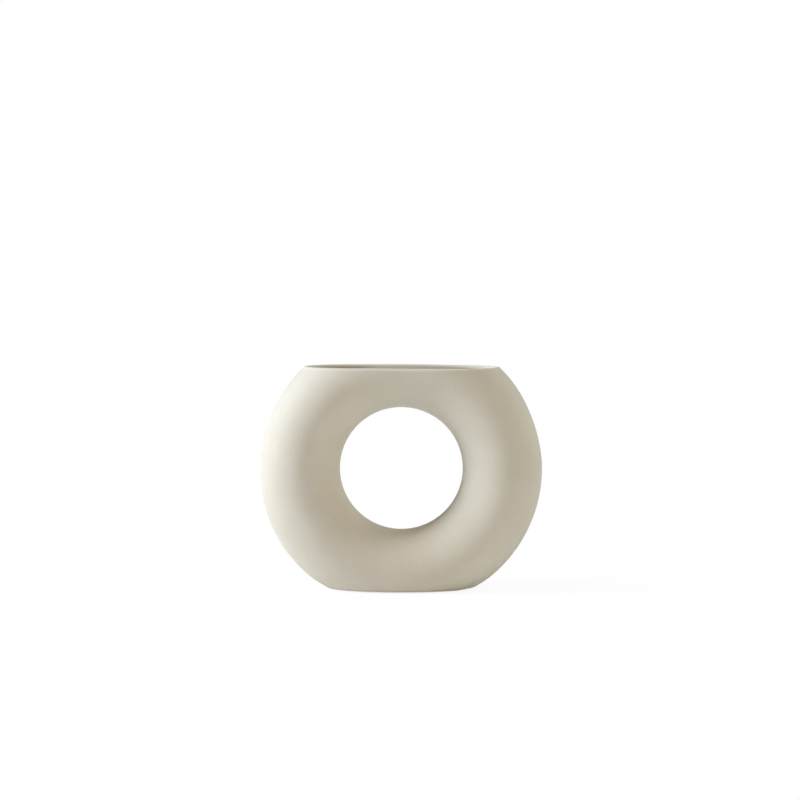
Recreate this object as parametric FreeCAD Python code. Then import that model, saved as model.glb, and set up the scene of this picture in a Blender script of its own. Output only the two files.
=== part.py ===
import FreeCAD, Part
import math
import os

# A ring vase, cast in one piece of stoneware. A hollow tube runs round in an upright circle about an open
# hole. The ring is cut off level through the middle of the tube at its top, which leaves a long lens-shaped
# mouth, and cut off level near its bottom, which leaves the foot. Flowers and water go in at the mouth and
# the water fills the whole ring. A glaze coat on the inside holds it, and four felt pads under the foot
# keep the fired clay off the furniture.
#
# Millimetres. X runs across the vase, Y runs from front to back along the axis of the hole, and Z runs up
# from the surface that the pads stand on.

# Ring
ring_radius = 71.8          # from the middle of the hole to the middle of the tube
tube_radius = 28.2          # outside of the tube
wall = 4.0                  # thickness of the cast wall
mouth_cut = 27.4            # height of the slice missing from the top of the ring
foot_cut = 15.2             # height of the slice missing from the bottom

# Lip of the mouth
lip_round_share = 0.42      # radius along both edges of the lip, as a share of the wall

# Foot
floor_thickness = 5.0       # from the foot up to the inside floor, before the recess
foot_round = 1.4            # radius round the outer edge of the foot
recess_depth = 1.0          # hollow under the vase, so that it stands on its rim only
foot_rim = 5.5              # width of the rim round the recess
recess_round_share = 0.4    # radius along the recess's two edges, as a share of its depth
floor_corner = 6.0          # radius inside, where the wall meets the floor

# Glaze coat inside
glaze = 0.5                 # thickness of the coat
glaze_stop = 2.2            # bare clay left between the lip's top and the coat's edge
glaze_edge_share = 0.4      # radius along the coat's edge, drawn round as it melts, as a share of the coat

# Felt pads
pad_radius = 5.0
pad_thickness = 2.0
pad_edge_share = 0.18       # slope that the die leaves round the lower edge, as a share of the thickness
pad_along_share = 0.62      # pad's place along the recess, as a share of its half length
pad_across_share = 0.46     # and across it, as a share of its half width

overrun = 10.0              # how far a cutting shape runs past the face that it cuts
level_share = 0.001         # how far off level an edge may lie and still count, as a share of the wall

# Places worked out from the sizes above
outer_radius = ring_radius + tube_radius
foot_z = pad_thickness - recess_depth
centre_z = foot_z + outer_radius - foot_cut
mouth_z = centre_z + outer_radius - mouth_cut
foot_drop = centre_z - foot_z
recess_roof_z = foot_z + recess_depth
foot_half_length = math.sqrt(outer_radius ** 2 - foot_drop ** 2)
foot_half_width = math.sqrt(tube_radius ** 2 - (foot_drop - ring_radius) ** 2)
recess_half_length = foot_half_length - foot_rim
recess_half_width = foot_half_width - foot_rim

hole_axis = FreeCAD.Vector(0, 1, 0)
up = FreeCAD.Vector(0, 0, 1)
ring_centre = FreeCAD.Vector(0, 0, centre_z)


def full_ring(section_radius):
    """The whole ring as a solid tube. Its seams lie along the throat of the hole and level with the hole's
    centre, so that the mouth and the foot each cut it in one unbroken edge."""
    tube_centre = ring_centre + FreeCAD.Vector(ring_radius, 0, 0)
    throat, turn = 180, 360  # degrees round the tube's section and round the ring
    section = Part.makeCircle(section_radius, tube_centre, up, throat, throat + turn)
    face = Part.Face(Part.Wire([section]))
    return face.revolve(ring_centre, hole_axis, turn)


def slab(low_z, high_z):
    """A block wider than the vase, from one height to another."""
    reach = outer_radius + overrun
    corner = FreeCAD.Vector(-reach, -reach, low_z)
    return Part.makeBox(2 * reach, 2 * reach, high_z - low_z, corner)


def the_solid(shape):
    """The one solid that a cut, a common or a fillet leaves."""
    return max(shape.Solids, key=lambda solid: solid.Volume)


def rounded(solid, radius, edges):
    """The solid with one radius along some of its edges."""
    return the_solid(solid.makeFillet(radius, edges))


def edges_at(shape, z):
    """The edges that lie level at one height."""
    slack = level_share * wall
    found = []
    for edge in shape.Edges:
        box = edge.BoundBox
        if abs(box.ZMin - z) < slack and abs(box.ZMax - z) < slack:
            found.append(edge)
    return found


def ellipses_in(edges):
    """Those of the edges that are elliptical, as both edges of the recess are."""
    return [edge for edge in edges if isinstance(edge.Curve, Part.Ellipse)]


def ring_bore(section_radius, floor_z, top_z, corner):
    """The space inside the tube, from a level floor up to a level top, with its floor corner rounded."""
    bore = the_solid(full_ring(section_radius).common(slab(floor_z, top_z)))
    return rounded(bore, corner, edges_at(bore, floor_z))


def vase_body():
    """The clay: the cut ring, hollow all the way round, with a rounded lip and a recessed foot."""
    ring = the_solid(full_ring(tube_radius).common(slab(foot_z, mouth_z)))
    ring = rounded(ring, foot_round, edges_at(ring, foot_z))

    rim = Part.Ellipse(FreeCAD.Vector(0, 0, foot_z - overrun), recess_half_length, recess_half_width)
    recess = Part.Face(Part.Wire([rim.toShape()])).extrude(up * (recess_depth + overrun))
    ring = the_solid(ring.cut(recess))
    recess_edges = ellipses_in(edges_at(ring, foot_z) + edges_at(ring, recess_roof_z))
    ring = rounded(ring, recess_round_share * recess_depth, recess_edges)

    inside_floor_z = foot_z + floor_thickness
    bore = ring_bore(tube_radius - wall, inside_floor_z, mouth_z + overrun, floor_corner)
    body = the_solid(ring.cut(bore))
    return rounded(body, lip_round_share * wall, edges_at(body, mouth_z))


def glaze_lining():
    """The coat of glaze on the inside, from a little below the lip down to the floor."""
    clay_radius = tube_radius - wall
    clay_floor_z = foot_z + floor_thickness
    coat_top_z = mouth_z - glaze_stop
    on_clay = ring_bore(clay_radius, clay_floor_z, coat_top_z, floor_corner)
    water_side = ring_bore(clay_radius - glaze, clay_floor_z + glaze, mouth_z, floor_corner - glaze)
    coat = the_solid(on_clay.cut(water_side))
    inner_edge = min(edges_at(coat, coat_top_z), key=lambda edge: edge.Length)
    return rounded(coat, glaze_edge_share * glaze, [inner_edge])


def foot_pad(side, depth):
    """One felt disc, stuck to the roof of the recess and standing a little below the foot."""
    x = side * pad_along_share * recess_half_length
    y = depth * pad_across_share * recess_half_width
    sole_z = recess_roof_z - pad_thickness
    disc = Part.makeCylinder(pad_radius, pad_thickness, FreeCAD.Vector(x, y, sole_z))
    return the_solid(disc.makeChamfer(pad_edge_share * pad_thickness, edges_at(disc, sole_z)))


pieces = {
    "vase_body": vase_body(),
    "glaze_lining": glaze_lining(),
}
for depth_name, depth in (("front", -1), ("back", 1)):
    for side_name, side in (("left", -1), ("right", 1)):
        pieces[f"{depth_name}_{side_name}_pad"] = foot_pad(side, depth)

os.makedirs("parts", exist_ok=True)
for name, solid in pieces.items():
    solid.exportStep(f"parts/{name}.step")
    print(name, solid.ShapeType, "valid" if solid.isValid() else "NOT VALID", round(solid.Volume, 1), "mm3")
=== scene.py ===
import math

import bmesh
import bpy
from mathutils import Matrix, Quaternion, Vector, noise


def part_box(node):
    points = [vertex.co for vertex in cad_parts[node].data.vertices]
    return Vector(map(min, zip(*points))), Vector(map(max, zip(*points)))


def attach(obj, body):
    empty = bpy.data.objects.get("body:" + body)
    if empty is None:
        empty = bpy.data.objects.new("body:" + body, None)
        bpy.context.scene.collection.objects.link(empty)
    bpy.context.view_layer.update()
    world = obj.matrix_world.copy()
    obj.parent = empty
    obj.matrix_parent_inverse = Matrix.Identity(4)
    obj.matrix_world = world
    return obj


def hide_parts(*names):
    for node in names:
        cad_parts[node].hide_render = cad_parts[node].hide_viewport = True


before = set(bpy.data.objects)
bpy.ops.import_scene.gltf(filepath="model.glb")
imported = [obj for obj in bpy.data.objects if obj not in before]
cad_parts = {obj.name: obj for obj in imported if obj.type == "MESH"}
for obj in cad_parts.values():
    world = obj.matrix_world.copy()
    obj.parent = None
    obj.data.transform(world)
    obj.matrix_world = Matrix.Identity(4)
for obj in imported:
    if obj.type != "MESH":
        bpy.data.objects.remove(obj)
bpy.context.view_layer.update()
mm = 0.001         # the sizes below are millimetres, and the scene is in metres
noise.seed_set(5)  # so that the kiln pulls the vase the same way every time
print("frame loaded:", ", ".join(sorted(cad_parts)))


# Small tools for meshes and materials

def linear(hexColour):  # "#rrggbb" as it looks on a screen, to the values that a shader wants
    parts = [int(hexColour[i:i + 2], 16) / 255 for i in (1, 3, 5)]
    return [p / 12.92 if p <= 0.04045 else ((p + 0.055) / 1.055) ** 2.4 for p in parts] + [1.0]


def addNode(tree, kind, settings=None, links=None):  # a key is a property, or an input's name or number
    made = tree.nodes.new(kind)
    for key, value in (settings or {}).items():
        if isinstance(key, str) and hasattr(made, key):
            setattr(made, key, value)
        else:
            made.inputs[key].default_value = value
    for key, source in (links or {}).items():
        tree.links.new(source, made.inputs[key])
    return made


def newMaterial(name):
    made = bpy.data.materials.new(name)
    made.use_nodes = True
    made.node_tree.nodes.clear()
    return made, made.node_tree


def perMetre(width):  # texture scale of a pattern whose features are this many millimetres wide
    return 1 / (width * mm)


def eased(value, low=0.0, high=1.0):  # 0 at low and 1 at high, level at both
    share = min(max((value - low) / (high - low), 0.0), 1.0)
    return share * share * (3 - 2 * share)


def makeObject(name, mesh, material):
    weldGap = 0.001  # mm
    bmesh.ops.remove_doubles(mesh, verts=mesh.verts, dist=weldGap)
    bmesh.ops.recalc_face_normals(mesh, faces=mesh.faces)
    bmesh.ops.scale(mesh, vec=(mm, mm, mm), verts=mesh.verts)
    data = bpy.data.meshes.new(name)
    mesh.to_mesh(data)
    mesh.free()
    data.shade_smooth()
    data.materials.append(material)
    made = bpy.data.objects.new(name, data)
    bpy.context.scene.collection.objects.link(made)
    return made


def joinRings(mesh, rings, closeEnd=False):  # quads between closed rings of points, all of one length
    verts = [[mesh.verts.new(point) for point in ring] for ring in rings]
    for low, high in zip(verts, verts[1:]):
        for i in range(len(low)):
            j = (i + 1) % len(low)
            mesh.faces.new((low[i], low[j], high[j], high[i]))
    if closeEnd:
        last = verts[-1]
        middle = mesh.verts.new(sum((v.co for v in last), Vector()) / len(last))
        for i in range(len(last)):
            mesh.faces.new((last[i], last[(i + 1) % len(last)], middle))
    return verts


def drawnIn(ring, rows):  # level rings from this one in towards its middle, evenly spaced
    middle = sum(ring, Vector()) / len(ring)
    return [[middle + (point - middle) * (1 - row / rows) for point in ring] for row in range(1, rows)]


# The ring: a tube of round section, run round a circle and cut off level above and below

vase = {
    "ringRadius": 71.8,       # middle of the hole to the middle of the tube
    "tubeRadius": 28.2,
    "wall": 4.0,
    "lipRound": 1.68,
    "footRound": 1.4,
    "footCut": 15.2,          # slice missing from the bottom of the ring
    "floorThickness": 5.0,
    "floorCorner": 6.0,
    "recessDepth": 1.0,
    "recessRound": 0.4,
    "footRim": 5.5,
    "aroundTube": 34,         # faces in a quarter of the tube's way round, and
    "alongRing": 30,          # in a quarter of the ring's way round
    "rows": 34,               # from a cut edge to the far side of the tube,
    "crowding": 1.5,          # closer together towards the cut edge
    "edgeRows": 7,            # round each rounded edge
    "rimRows": 3,             # across the foot's rim
    "recessRows": 4,          # round each edge of the recess
    "levelRows": 5,           # across the recess and the inside floor
    "cutSteps": 60,           # how finely a cut is measured, in steps to a face
}
bodyLow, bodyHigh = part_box("vase_body")
footZ = bodyLow.z / mm
outerRadius = vase["ringRadius"] + vase["tubeRadius"]
centreZ = footZ + outerRadius - vase["footCut"]
mouthHeight = bodyHigh.z / mm - centreZ   # cuts and floors are heights above the ring's centre
footHeight = footZ - centreZ
roofHeight = footHeight + vase["recessDepth"]
floorHeight = footHeight + vase["floorThickness"]
footHalfLength = math.sqrt(outerRadius ** 2 - footHeight ** 2)
footHalfWidth = math.sqrt(vase["tubeRadius"] ** 2 - (footHeight + vase["ringRadius"]) ** 2)
clayRadius = vase["tubeRadius"] - vase["wall"]
quarterCount = vase["aroundTube"] + vase["alongRing"]


def tubeNormal(turn, roll):  # turn goes round the ring from +X up, roll round the tube from its outside
    return Vector((math.cos(roll) * math.cos(turn), math.sin(roll), math.cos(roll) * math.sin(turn)))


def tubePoint(turn, roll, section):
    spine = Vector((math.cos(turn), 0, math.sin(turn))) * vase["ringRadius"]
    return spine + tubeNormal(turn, roll) * section + Vector((0, 0, centreZ))


def mirrored(quarter):  # a quarter's (turn, roll) points, to the whole ring of them
    side = -1 if quarter[-1][0] < 0 else 1
    ring = list(quarter)
    ring += [(side * math.pi - turn, roll) for turn, roll in reversed(quarter[:-1])]
    ring += [(turn, -roll) for turn, roll in reversed(ring[1:-1])]
    return ring


def cutQuarter(section, height):  # where a level plane cuts the tube, evenly spaced along the cut
    side = 1 if height > 0 else -1
    ringR = vase["ringRadius"]
    widest = math.acos((abs(height) - ringR) / section)
    fine = []
    steps = vase["cutSteps"] * quarterCount
    for i in range(steps + 1):
        roll = widest * math.sin(i / steps * math.pi / 2)
        turn = math.asin(min(1.0, abs(height) / (ringR + section * math.cos(roll))))
        fine.append((side * turn, roll))
    points = [tubePoint(turn, roll, section) for turn, roll in fine]
    run = [0.0]
    for a, b in zip(points, points[1:]):
        run.append(run[-1] + (b - a).length)
    quarter, at = [], 0
    for k in range(quarterCount + 1):
        goal = run[-1] * k / quarterCount
        while at < steps - 1 and run[at + 1] < goal:
            at += 1
        share = (goal - run[at]) / (run[at + 1] - run[at])
        quarter.append(tuple(a + (b - a) * share for a, b in zip(fine[at], fine[at + 1])))
    return quarter


def seamQuarter(side):  # the patch's far edge: level with the hole's centre, then along its throat
    around, along = vase["aroundTube"], vase["alongRing"]
    quarter = [(0.0, math.pi * i / around) for i in range(around)]
    return quarter + [(side * math.pi / 2 * i / along, math.pi) for i in range(along + 1)]


def tubeRings(section, cutSection, height):  # the tube's surface, from a cut edge out to the seams
    cut = mirrored(cutQuarter(cutSection, height))
    seam = mirrored(seamQuarter(1 if height > 0 else -1))
    rings = []
    for row in range(vase["rows"] + 1):
        share = (row / vase["rows"]) ** vase["crowding"]
        ring = []
        for (turnA, rollA), (turnB, rollB) in zip(cut, seam):
            turn, roll = turnA + (turnB - turnA) * share, rollA + (rollB - rollA) * share
            ring.append(tubePoint(turn, roll, section(turn, roll) if callable(section) else section))
        rings.append(ring)
    return rings


def roundRings(cutSection, height, radius, facing, level):  # rounds the tube over to a level face
    rings = []
    for row in range(vase["edgeRows"] + 1):
        ring = []
        for turn, roll in mirrored(cutQuarter(cutSection, height)):
            across = tubeNormal(turn, roll) * facing
            axis, angle = across.rotation_difference(Vector((0, 0, level))).to_axis_angle()
            across.rotate(Quaternion(axis, angle * row / vase["edgeRows"]))
            ring.append(tubePoint(turn, roll, cutSection) + across * radius)
        rings.append(ring)
    return rings


# What making and firing did to the true ring. The foot under the pads stays level, so the vase stands flat.
# Heights and sides are shares of the ring's outer radius, from its centre; the rest is in millimetres.

firing = {
    "pull": 0.12,                  # how far the kiln pulled the surface out of true,
    "pullLength": 55.0,            # over what length,
    "pullPlace": (3.1, 7.7, 1.3),  # in which part of the noise,
    "pullHeights": (6, 46),        # and where above the table that begins and is whole
    "narrow": 0.6,                 # how much narrower each shoulder came out
    "narrowHeights": (0.0, 0.35, 0.4, 0.8),
    "narrowSide": 0.5,
    "slump": 1.1,                  # how much wider the lower left came out
    "slumpHeight": -0.5,
    "slumpSide": -0.4,
    "lipLow": 0.06,                # how much lower the whole lip was cut,
    "lipDip": 0.55,                # and its right end on top of that
    "lipDipFrom": (-15, 33),
    "lipDipSkew": 15,              # the dip begins this much further left on the near lip
    "lipHeights": (0.4, 0.7),
    "lipSides": (0.3, 0.6),        # where the shoulder under the lip moves out, to keep its line
    "rub": 0.6,                    # how much of the right end of the foot was rubbed away
    "rubFrom": (38, 48),
    "footBlend": 7.0,              # height over which the foot's own shape gives way
}


def fired(point):
    height = (point.z - centreZ) / outerRadius
    side = point.x / outerRadius
    onOutside = eased((math.hypot(point.x, point.z - centreZ) - vase["ringRadius"]) / vase["tubeRadius"])
    pull = noise.noise_vector(point / firing["pullLength"] + Vector(firing["pullPlace"]))
    free = eased(point.z, *firing["pullHeights"])
    moved = point + pull * firing["pull"] * free
    moved.x *= 1 - firing["pull"] / outerRadius * free
    moved.y *= 1 - firing["pull"] / vase["tubeRadius"] * free

    start, whole, fading, gone = firing["narrowHeights"]
    shoulder = eased(height, start, whole) * eased(height, gone, fading)
    narrower = firing["narrow"] * onOutside * shoulder * eased(abs(side), 0, firing["narrowSide"])
    moved.x -= math.copysign(narrower, side)

    aboveFoot = eased(point.z, footZ, footZ + firing["footBlend"])
    lowerLeft = eased(height, 0, firing["slumpHeight"]) * eased(side, 0, firing["slumpSide"])
    moved.x -= firing["slump"] * onOutside * lowerLeft * aboveFoot
    moved.z += firing["rub"] * (1 - aboveFoot) * eased(point.x, *firing["rubFrom"])

    skewed = point.x - firing["lipDipSkew"] * point.y / vase["tubeRadius"]
    lower = firing["lipLow"] + firing["lipDip"] * eased(skewed, *firing["lipDipFrom"])
    lower *= eased(height, *firing["lipHeights"])
    moved.z -= lower
    moved.x += lower * onOutside * eased(side, *firing["lipSides"])
    return moved


def footRings(start):  # from the foot's rounded edge, over its rim and up into the recess
    outer = start[-1]
    deep = footHeight + centreZ
    roof = roofHeight + centreZ
    soft = vase["recessRound"]
    halfLong = max(p.x for p in outer)
    halfWide = max(p.y for p in outer)

    def ellipse(grow, z):
        recessLong = footHalfLength - vase["footRim"] + grow
        recessWide = footHalfWidth - vase["footRim"] + grow
        ring = []
        for p in outer:
            angle = math.atan2(p.y / halfWide, p.x / halfLong)
            ring.append(Vector((recessLong * math.cos(angle), recessWide * math.sin(angle), z)))
        return ring

    edge = ellipse(soft, deep)
    rings = [outer]
    for row in range(1, vase["rimRows"]):
        rings.append([a + (b - a) * row / vase["rimRows"] for a, b in zip(outer, edge)])
    angles = [math.pi / 2 * row / vase["recessRows"] for row in range(vase["recessRows"] + 1)]
    for angle in angles:
        rings.append(ellipse(soft * (1 - math.sin(angle)), deep + soft * (1 - math.cos(angle))))
    for angle in angles:
        rings.append(ellipse(-soft * (1 - math.cos(angle)), roof - soft * (1 - math.sin(angle))))
    return rings + drawnIn(rings[-1], vase["levelRows"])


def makeBody(material):
    mesh = bmesh.new()
    lip, soft, corner = vase["lipRound"], vase["footRound"], vase["floorCorner"]
    outerCut = vase["tubeRadius"] - lip
    innerCut = clayRadius + lip
    joinRings(mesh, tubeRings(vase["tubeRadius"], outerCut, mouthHeight - lip))
    joinRings(mesh, tubeRings(vase["tubeRadius"], vase["tubeRadius"] - soft, footHeight + soft))
    joinRings(mesh, tubeRings(clayRadius, innerCut, mouthHeight - lip))
    joinRings(mesh, tubeRings(clayRadius, clayRadius - corner, floorHeight + corner))
    outside = roundRings(outerCut, mouthHeight - lip, lip, 1, 1)
    inside = roundRings(innerCut, mouthHeight - lip, lip, -1, 1)
    joinRings(mesh, outside + inside[::-1])
    foot = roundRings(vase["tubeRadius"] - soft, footHeight + soft, soft, 1, -1)
    joinRings(mesh, foot[:-1] + footRings(foot), closeEnd=True)
    floor = roundRings(clayRadius - corner, floorHeight + corner, corner, 1, -1)
    joinRings(mesh, floor + drawnIn(floor[-1], vase["levelRows"]), closeEnd=True)
    for v in mesh.verts:
        v.co = fired(v.co)
    return makeObject("stoneware_body", mesh, material)


# Glaze coat on the inside: even on the walls, and thinned out unevenly to nothing at its top edge

glaze = {
    "thickness": 0.5,
    "melted": 0.1,        # how deep it has melted into the clay
    "belowLip": 1.9,      # bare clay between the lip's top and the first of the glaze
    "feather": 5.0,       # length over which the coat thins towards its edge,
    "uneven": 0.7,        # and how unevenly, as it was poured and wiped
    "waveLength": 16.0,
}


def makeGlaze(material):
    mesh = bmesh.new()
    top = mouthHeight - glaze["belowLip"]
    corner = vase["floorCorner"]
    outward, inward = -glaze["melted"], glaze["thickness"]

    def waterSide(turn, roll):
        point = tubePoint(turn, roll, clayRadius)
        patch = noise.noise(Vector((point.x, point.y, 0)) / glaze["waveLength"])
        feather = glaze["feather"] * (1 + glaze["uneven"] * patch)
        share = math.sqrt(eased((top + centreZ - point.z) / feather))
        return clayRadius - outward - (inward - outward) * share

    joinRings(mesh, tubeRings(clayRadius - outward, clayRadius, top))
    joinRings(mesh, tubeRings(waterSide, clayRadius, top))
    for depth in (outward, inward):
        joinRings(mesh, tubeRings(clayRadius - depth, clayRadius - corner, floorHeight + corner))
        floor = roundRings(clayRadius - corner, floorHeight + corner, corner - depth, 1, -1)
        joinRings(mesh, floor + drawnIn(floor[-1], vase["levelRows"]), closeEnd=True)
    for v in mesh.verts:
        v.co = fired(v.co)
    return makeObject("glaze_coat", mesh, material)


# Felt pads, punched out of pressed felt

felt = {
    "rings": 14,          # across the sole
    "around": 56,
    "edgeSoft": 0.45,     # radius that the punch leaves round the lower edge
    "edgeRows": 5,
    "sideRows": (0.4, 0.55, 0.7, 0.85, 1.0),   # shares of the thickness
    "topRows": (0.75, 0.5, 0.25),              # shares of the radius
    "fray": 0.10,         # how far the cut edge wanders, in tufts of this width,
    "frayWidth": 0.55,
    "frayFrom": 0.9,      # starting at this share of the radius
    "nap": 0.07,          # height of the hairs' tangle on the sole, and its width
    "napWidth": 0.8,
}


def makePad(nodeName, material):
    low, high = (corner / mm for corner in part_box(nodeName))
    middle = (low + high) / 2
    radius, thick = (high.x - low.x) / 2, high.z - low.z
    soft = felt["edgeSoft"]
    mesh = bmesh.new()
    profile = [(radius * i / felt["rings"], low.z) for i in range(1, felt["rings"] - 1)]
    for i in range(felt["edgeRows"] + 1):
        angle = math.pi / 2 * i / felt["edgeRows"]
        profile.append((radius - soft * (1 - math.sin(angle)), low.z + soft * (1 - math.cos(angle))))
    profile += [(radius, low.z + thick * share) for share in felt["sideRows"]]
    profile += [(radius * share, high.z) for share in felt["topRows"]]
    rings = []
    for out, z in profile:
        ring = []
        edge = eased(out / radius, felt["frayFrom"], 1)
        for i in range(felt["around"]):
            angle = 2 * math.pi * i / felt["around"]
            way = Vector((math.cos(angle), math.sin(angle), 0))
            point = Vector((middle.x, middle.y, z)) + way * out
            point -= way * abs(noise.noise(point / felt["frayWidth"])) * felt["fray"] * edge
            if z < middle.z:
                point.z += abs(noise.noise(point / felt["napWidth"])) * felt["nap"]
            ring.append(point)
        rings.append(ring)
    sole = joinRings(mesh, rings, closeEnd=True)[0]
    centre = mesh.verts.new((middle.x, middle.y, low.z))
    for i, v in enumerate(sole):
        mesh.faces.new((v, sole[(i + 1) % len(sole)], centre))
    return makeObject(nodeName.replace("_pad", "_felt"), mesh, material)


# Materials

def stoneware():  # slip-cast stoneware under a sprayed dry-matt slip: chalky, sand-fine grain, no shine
    look = {
        "clay": "#dcd4c3", "shade": "#d8d0be",           # soft clouds of two near colours
        "cloudWidth": 26.0, "cloudEdges": (0.35, 0.65),
        "lip": "#e2dccf", "lipFade": (3.0, 0.4),         # mm below the top, where the slip is thickest
        "lipShare": 0.8,
        "bare": "#cdc3b0", "bareFade": (1.6, 0.5),       # mm above the foot, which was wiped bare
        "grain": 0.9,                                    # about 0.3 mm, drawn coarser to show
        "grainEdges": (0.3, 0.7), "grainTint": (0.965, 1.03), "roughness": (0.62, 0.78),
        "peelWidth": 7.0,                                # orange peel of the spray
        "pinholeSpacing": 3.2, "pinholeEdges": (0.02, 0.09),
        "peelBump": (0.25, 0.6), "grainBump": (0.22, 0.25), "pinholeBump": (0.3, 0.2),  # strength, mm
    }
    made, tree = newMaterial("matt_stoneware")
    place = addNode(tree, "ShaderNodeTexCoord").outputs["Object"]
    height = addNode(tree, "ShaderNodeSeparateXYZ", {}, {"Vector": place}).outputs["Z"]
    clouds = addNode(tree, "ShaderNodeTexNoise", {"Scale": perMetre(look["cloudWidth"]), "Detail": 4.0},
                     {"Vector": place}).outputs["Fac"]
    grain = addNode(tree, "ShaderNodeTexNoise",
                    {"Scale": perMetre(look["grain"]), "Detail": 5.0, "Roughness": 0.6},
                    {"Vector": place}).outputs["Fac"]
    peel = addNode(tree, "ShaderNodeTexNoise", {"Scale": perMetre(look["peelWidth"]), "Detail": 2.0},
                   {"Vector": place}).outputs["Fac"]
    cells = addNode(tree, "ShaderNodeTexVoronoi", {"Scale": perMetre(look["pinholeSpacing"])},
                    {"Vector": place}).outputs["Distance"]
    deep, rim = look["pinholeEdges"]
    pinholes = addNode(tree, "ShaderNodeMapRange",
                       {"From Min": deep, "From Max": rim, "To Min": 1.0, "To Max": 0.0},
                       {"Value": cells}).outputs["Result"]

    start, end = look["cloudEdges"]
    cloudy = addNode(tree, "ShaderNodeMapRange", {"From Min": start, "From Max": end},
                     {"Value": clouds}).outputs["Result"]
    colour = addNode(tree, "ShaderNodeMix",
                     {"data_type": "RGBA", 6: linear(look["clay"]), 7: linear(look["shade"])},
                     {0: cloudy}).outputs[2]
    start, end = (bodyHigh.z - below * mm for below in look["lipFade"])
    lipShare = addNode(tree, "ShaderNodeMapRange",
                       {"From Min": start, "From Max": end, "To Max": look["lipShare"],
                        "interpolation_type": "SMOOTHSTEP"}, {"Value": height}).outputs["Result"]
    colour = addNode(tree, "ShaderNodeMix", {"data_type": "RGBA", 7: linear(look["lip"])},
                     {0: lipShare, 6: colour}).outputs[2]
    start, end = (bodyLow.z + above * mm for above in look["bareFade"])
    bareShare = addNode(tree, "ShaderNodeMapRange",
                        {"From Min": start, "From Max": end, "interpolation_type": "SMOOTHSTEP"},
                        {"Value": height}).outputs["Result"]
    colour = addNode(tree, "ShaderNodeMix", {"data_type": "RGBA", 7: linear(look["bare"])},
                     {0: bareShare, 6: colour}).outputs[2]
    start, end = look["grainEdges"]
    dark, light = look["grainTint"]
    tint = addNode(tree, "ShaderNodeMapRange",
                   {"From Min": start, "From Max": end, "To Min": dark, "To Max": light},
                   {"Value": grain}).outputs["Result"]
    colour = addNode(tree, "ShaderNodeVectorMath", {"operation": "SCALE"},
                     {0: colour, "Scale": tint}).outputs["Vector"]
    smooth, dry = look["roughness"]
    rough = addNode(tree, "ShaderNodeMapRange", {"To Min": smooth, "To Max": dry},
                    {"Value": grain}).outputs["Result"]

    strength, depth = look["peelBump"]
    bump = addNode(tree, "ShaderNodeBump", {"Strength": strength, "Distance": depth * mm},
                   {"Height": peel}).outputs["Normal"]
    strength, depth = look["grainBump"]
    bump = addNode(tree, "ShaderNodeBump", {"Strength": strength, "Distance": depth * mm},
                   {"Height": grain, "Normal": bump}).outputs["Normal"]
    strength, depth = look["pinholeBump"]
    bump = addNode(tree, "ShaderNodeBump",
                   {"Strength": strength, "Distance": depth * mm, "invert": True},
                   {"Height": pinholes, "Normal": bump}).outputs["Normal"]
    shader = addNode(tree, "ShaderNodeBsdfPrincipled", {"IOR": 1.5, "Specular IOR Level": 0.3},
                     {"Base Color": colour, "Roughness": rough, "Normal": bump})
    addNode(tree, "ShaderNodeOutputMaterial", {}, {"Surface": shader.outputs["BSDF"]})
    return made


def linerGlaze():  # clear glaze poured in and out again: glassy, a little wavy, creamier where it pools
    look = {
        "thin": "#d9d7cd", "pooled": "#cbc5b2",
        "poolHeights": (45, 6),              # mm above the table
        "wave": 9.0, "waveEdges": (0.3, 0.7), "waveTint": (0.97, 1.02),
        "waveBump": (0.3, 0.4),              # strength, mm
        "roughness": 0.12,
    }
    made, tree = newMaterial("poured_liner_glaze")
    place = addNode(tree, "ShaderNodeTexCoord").outputs["Object"]
    height = addNode(tree, "ShaderNodeSeparateXYZ", {}, {"Vector": place}).outputs["Z"]
    wave = addNode(tree, "ShaderNodeTexNoise", {"Scale": perMetre(look["wave"]), "Detail": 2.0},
                   {"Vector": place}).outputs["Fac"]
    start, end = (above * mm for above in look["poolHeights"])
    pooling = addNode(tree, "ShaderNodeMapRange", {"From Min": start, "From Max": end},
                      {"Value": height}).outputs["Result"]
    colour = addNode(tree, "ShaderNodeMix",
                     {"data_type": "RGBA", 6: linear(look["thin"]), 7: linear(look["pooled"])},
                     {0: pooling}).outputs[2]
    start, end = look["waveEdges"]
    dark, light = look["waveTint"]
    tint = addNode(tree, "ShaderNodeMapRange",
                   {"From Min": start, "From Max": end, "To Min": dark, "To Max": light},
                   {"Value": wave}).outputs["Result"]
    colour = addNode(tree, "ShaderNodeVectorMath", {"operation": "SCALE"},
                     {0: colour, "Scale": tint}).outputs["Vector"]
    strength, depth = look["waveBump"]
    bump = addNode(tree, "ShaderNodeBump", {"Strength": strength, "Distance": depth * mm},
                   {"Height": wave}).outputs["Normal"]
    shader = addNode(tree, "ShaderNodeBsdfPrincipled", {"IOR": 1.5, "Roughness": look["roughness"]},
                     {"Base Color": colour, "Normal": bump})
    addNode(tree, "ShaderNodeOutputMaterial", {}, {"Surface": shader.outputs["BSDF"]})
    return made


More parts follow.
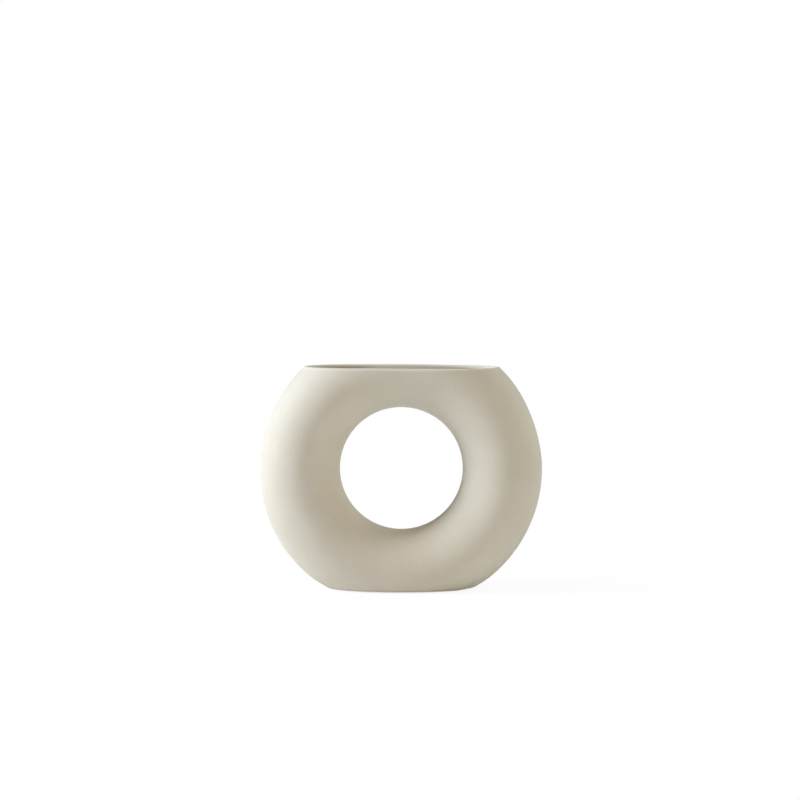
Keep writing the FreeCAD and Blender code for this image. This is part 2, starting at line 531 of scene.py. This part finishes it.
def pressedFelt():  # needled wool felt: dull, tangled hairs
    look = {
        "wool": "#d5cfc2", "shadow": "#b9b1a1",
        "hair": 0.35,                        # about 0.03 mm, drawn coarser to show
        "tangle": 1.6, "tanglePush": 3.0,    # mm
        "hairBump": (0.8, 0.3),              # strength, mm
    }
    made, tree = newMaterial("needled_felt")
    place = addNode(tree, "ShaderNodeTexCoord").outputs["Object"]
    tangle = addNode(tree, "ShaderNodeTexNoise", {"Scale": perMetre(look["tangle"]), "Detail": 3.0},
                     {"Vector": place}).outputs["Color"]
    push = [look["tanglePush"] * mm] * 3
    pushed = addNode(tree, "ShaderNodeVectorMath", {"operation": "MULTIPLY_ADD", 1: push},
                     {0: tangle, 2: place}).outputs["Vector"]
    hair = addNode(tree, "ShaderNodeTexNoise",
                   {"Scale": perMetre(look["hair"]), "Detail": 4.0, "Distortion": 1.5},
                   {"Vector": pushed}).outputs["Fac"]
    colour = addNode(tree, "ShaderNodeMix",
                     {"data_type": "RGBA", 6: linear(look["shadow"]), 7: linear(look["wool"])},
                     {0: hair}).outputs[2]
    strength, depth = look["hairBump"]
    bump = addNode(tree, "ShaderNodeBump", {"Strength": strength, "Distance": depth * mm},
                   {"Height": hair}).outputs["Normal"]
    shader = addNode(tree, "ShaderNodeBsdfPrincipled",
                     {"Roughness": 0.95, "Specular IOR Level": 0.1,
                      "Sheen Weight": 0.4, "Sheen Roughness": 0.6},
                     {"Base Color": colour, "Normal": bump})
    addNode(tree, "ShaderNodeOutputMaterial", {}, {"Surface": shader.outputs["BSDF"]})
    return made


# Build the pieces

body = makeBody(stoneware())
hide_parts("vase_body")
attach(body, "root")
print("body made:", len(body.data.polygons), "faces")

coat = makeGlaze(linerGlaze())
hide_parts("glaze_lining")
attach(coat, "root")
print("glaze made:", len(coat.data.polygons), "faces")

feltMaterial = pressedFelt()
for nodeName in sorted(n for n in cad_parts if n.endswith("_pad")):
    pad = makePad(nodeName, feltMaterial)
    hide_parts(nodeName)
    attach(pad, "root")
print("felt pads made")


# Stage: a white floor that keeps a faint shadow, and a white surround

stage = {
    "floorSize": 12.0,        # metres
    "paper": "#f2f2f2",       # what the floor throws back onto the vase
    "shadowDepth": 0.08,      # share of the floor's white that the lamps give, and so can be shadowed
    "shadowReach": 5.0,       # the shadow has faded out at this many times the foot's own size,
    "dimDepth": 0.5,          # and under the foot it is whole at this share of it
    "lampLevel": 0.95,        # what the lamps give a level surface
    "surround": 0.272,         # strength of the light from all round
}


def makeFloor():  # white to the camera, but for a faint shadow, and dark in the gap under the foot
    made, tree = newMaterial("white_paper_floor")
    ray = addNode(tree, "ShaderNodeLightPath").outputs
    seen = addNode(tree, "ShaderNodeMath", {"operation": "MAXIMUM"},
                   {0: ray["Is Camera Ray"], 1: ray["Is Glossy Ray"]}).outputs["Value"]
    seen = addNode(tree, "ShaderNodeMath", {"operation": "MAXIMUM"},
                   {0: seen, 1: ray["Is Transmission Ray"]}).outputs["Value"]
    place = addNode(tree, "ShaderNodeTexCoord").outputs["Object"]
    perFoot = (1 / (footHalfLength * mm), 1 / (footHalfWidth * mm), 0)
    inFeet = addNode(tree, "ShaderNodeVectorMath", {"operation": "MULTIPLY", 1: perFoot},
                     {0: place}).outputs["Vector"]
    away = addNode(tree, "ShaderNodeVectorMath", {"operation": "LENGTH"}, {0: inFeet}).outputs["Value"]
    under = addNode(tree, "ShaderNodeMapRange", {"From Min": 1.0, "From Max": stage["dimDepth"]},
                    {"Value": away}).outputs["Result"]
    around = addNode(tree, "ShaderNodeMapRange",
                     {"From Min": 1.0, "From Max": stage["shadowReach"], "To Min": stage["shadowDepth"],
                      "To Max": 0.0, "interpolation_type": "SMOOTHSTEP"}, {"Value": away}).outputs["Result"]
    share = addNode(tree, "ShaderNodeMath", {"operation": "MAXIMUM"}, {0: under, 1: around}).outputs["Value"]
    glowing = addNode(tree, "ShaderNodeMath",
                      {"operation": "MULTIPLY_ADD", 1: -stage["lampLevel"], 2: 1.0},
                      {0: share}).outputs["Value"]
    faint = addNode(tree, "ShaderNodeBsdfDiffuse", {}, {"Color": share}).outputs["BSDF"]
    glow = addNode(tree, "ShaderNodeEmission", {}, {"Strength": glowing}).outputs["Emission"]
    shown = addNode(tree, "ShaderNodeAddShader", {}, {0: faint, 1: glow}).outputs["Shader"]
    lit = addNode(tree, "ShaderNodeBsdfDiffuse", {"Color": linear(stage["paper"])}).outputs["BSDF"]
    mixed = addNode(tree, "ShaderNodeMixShader", {}, {"Fac": seen, 1: lit, 2: shown}).outputs["Shader"]
    addNode(tree, "ShaderNodeOutputMaterial", {}, {"Surface": mixed})
    mesh = bmesh.new()
    bmesh.ops.create_grid(mesh, x_segments=8, y_segments=8, size=stage["floorSize"] / 2 / mm)
    makeObject("floor", mesh, made)


def makeSurround():  # even light from all round, and plain white where the camera sees it
    world = bpy.data.worlds.new("surround")
    bpy.context.scene.world = world
    world.use_nodes = True
    tree = world.node_tree
    tree.nodes.clear()
    white = (1, 1, 1, 1)
    ray = addNode(tree, "ShaderNodeLightPath").outputs
    seen = addNode(tree, "ShaderNodeMath", {"operation": "MAXIMUM"},
                   {0: ray["Is Camera Ray"], 1: ray["Is Transmission Ray"]}).outputs["Value"]
    light = addNode(tree, "ShaderNodeBackground",
                    {"Strength": stage["surround"], "Color": white}).outputs["Background"]
    plain = addNode(tree, "ShaderNodeBackground", {"Strength": 1.0, "Color": white}).outputs["Background"]
    mixed = addNode(tree, "ShaderNodeMixShader", {}, {"Fac": seen, 1: light, 2: plain}).outputs["Shader"]
    addNode(tree, "ShaderNodeOutputWorld", {}, {"Surface": mixed})


makeFloor()
makeSurround()


# Lamps: a window to the left, a weak one behind to the right, and a warm reflector in front to the right.
# Azimuths are in degrees from +X towards +Y, and level 1 shows a colour that faces it as it is written.

lamps = {
    "window": {
        "azimuth": 186.3, "elevation": 26, "distance": 3.0, "wide": 0.79, "high": 0.63,
        "level": 1.13, "colour": "#eaf2ff",
    },
    "rearWindow": {
        "azimuth": 28, "elevation": 35, "distance": 1.6, "wide": 0.68, "high": 0.68,
        "level": 0.29, "colour": "#daf2ff",
    },
    "reflector": {
        "azimuth": 320, "elevation": 30, "distance": 1.8, "wide": 1.68, "high": 1.68,
        "level": 0.24, "colour": "#ffe8bf",
    },
}


def makeLamp(name, given):
    data = bpy.data.lights.new(name, "AREA")
    data.shape = "RECTANGLE"
    data.size, data.size_y = given["wide"], given["high"]
    data.energy = given["level"] * (math.pi * given["distance"]) ** 2
    data.color = linear(given["colour"])[:3]
    made = bpy.data.objects.new(name, data)
    bpy.context.scene.collection.objects.link(made)
    turn, rise = math.radians(given["azimuth"]), math.radians(given["elevation"])
    way = Vector((math.cos(turn) * math.cos(rise), math.sin(turn) * math.cos(rise), math.sin(rise)))
    made.location = Vector((0, 0, centreZ * mm)) + way * given["distance"]
    made.rotation_euler = way.to_track_quat("Z", "Y").to_euler()


for name, given in lamps.items():
    makeLamp(name, given)


# Camera: where the photograph was taken from

camera = {
    "sideways": -0.96,     # mm
    "distance": 1521.4,
    "above": 162.0,        # over the ring's centre
    "pitch": 4.265,        # degrees down
    "lens": 96.93,         # mm, on a sensor this wide
    "sensor": 36.0,
    "clip": (0.05, 50),    # metres
}


def makeCamera():
    data = bpy.data.cameras.new("camera")
    data.sensor_width = camera["sensor"]
    data.lens = camera["lens"]
    data.clip_start, data.clip_end = camera["clip"]
    made = bpy.data.objects.new("camera", data)
    bpy.context.scene.collection.objects.link(made)
    made.location = Vector((camera["sideways"], -camera["distance"], centreZ + camera["above"])) * mm
    made.rotation_euler = (math.radians(90 - camera["pitch"]), 0, 0)
    bpy.context.scene.camera = made


makeCamera()
bpy.context.scene.view_settings.view_transform = "Standard"
print("stage, lamps and camera set")
